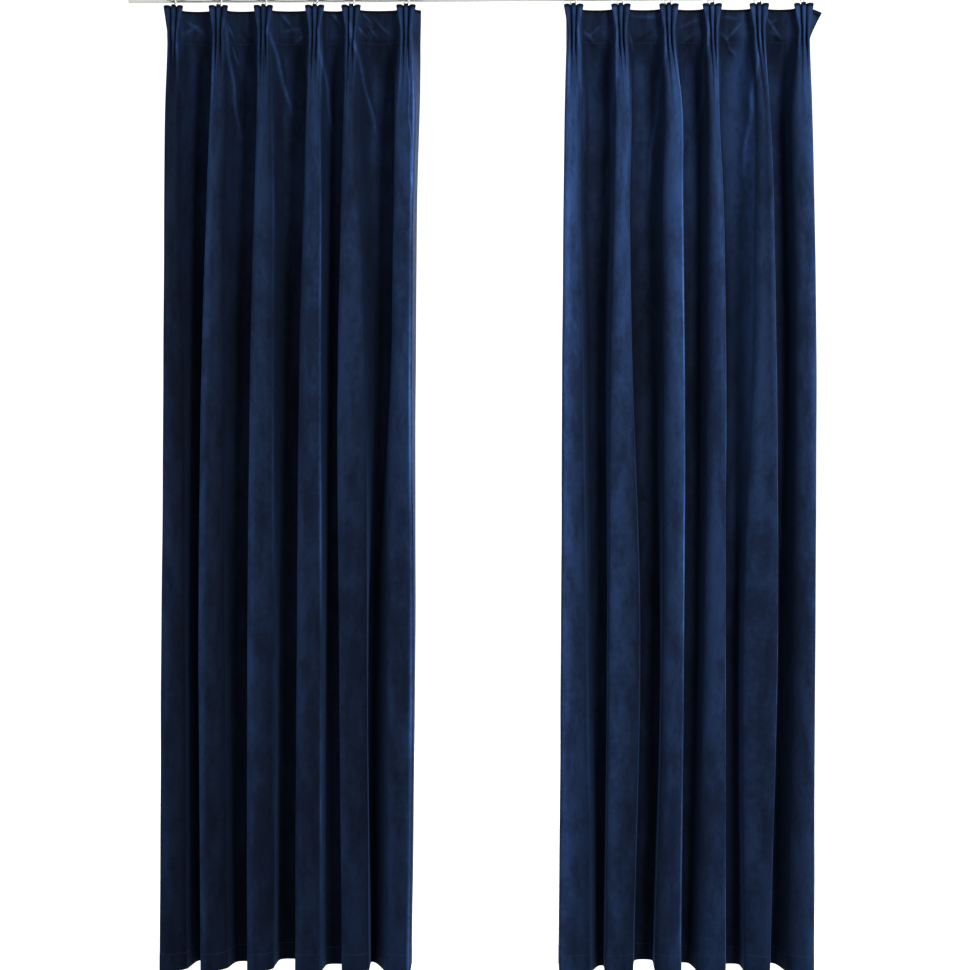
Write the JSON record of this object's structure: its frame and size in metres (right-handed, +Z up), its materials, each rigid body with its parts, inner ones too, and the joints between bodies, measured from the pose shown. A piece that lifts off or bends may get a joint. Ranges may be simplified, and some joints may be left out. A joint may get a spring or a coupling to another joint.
{
  "type": "pair of velvet pinch pleat drapes on a curtain rod",
  "caption": "Pair of floor-length velvet drapes with triple pinch pleats, hung by rings and pin hooks from a thin round metal rod.",
  "frame": {"origin": "on the rod's axis, at the middle of its length", "axes": "+X along the rod to the right curtain, the curtains' fronts face -Y, +Z up"},
  "size_m": [1.836, 0.0996, 2.5009],
  "materials": {
    "velvet": "navy blue velvet, short soft pile",
    "rod_metal": "satin",
    "ring_metal": "polished",
    "hook_wire": "bright wire"
  },
  "bodies": {
    "root": {"rod": "rod_metal", "curtain_left": "velvet", "curtain_right": "velvet", "ring_left_1": "ring_metal", "ring_left_2": "ring_metal", "ring_left_3": "ring_metal", "ring_left_4": "ring_metal", "ring_left_5": "ring_metal", "ring_left_6": "ring_metal", "ring_right_1": "ring_metal", "ring_right_2": "ring_metal", "ring_right_3": "ring_metal", "ring_right_4": "ring_metal", "ring_right_5": "ring_metal", "ring_right_6": "ring_metal", "hook_left_1": "hook_wire", "hook_left_2": "hook_wire", "hook_left_3": "hook_wire", "hook_left_4": "hook_wire", "hook_left_5": "hook_wire", "hook_left_6": "hook_wire", "hook_right_1": "hook_wire", "hook_right_2": "hook_wire", "hook_right_3": "hook_wire", "hook_right_4": "hook_wire", "hook_right_5": "hook_wire", "hook_right_6": "hook_wire"}
  },
  "joints": []
}
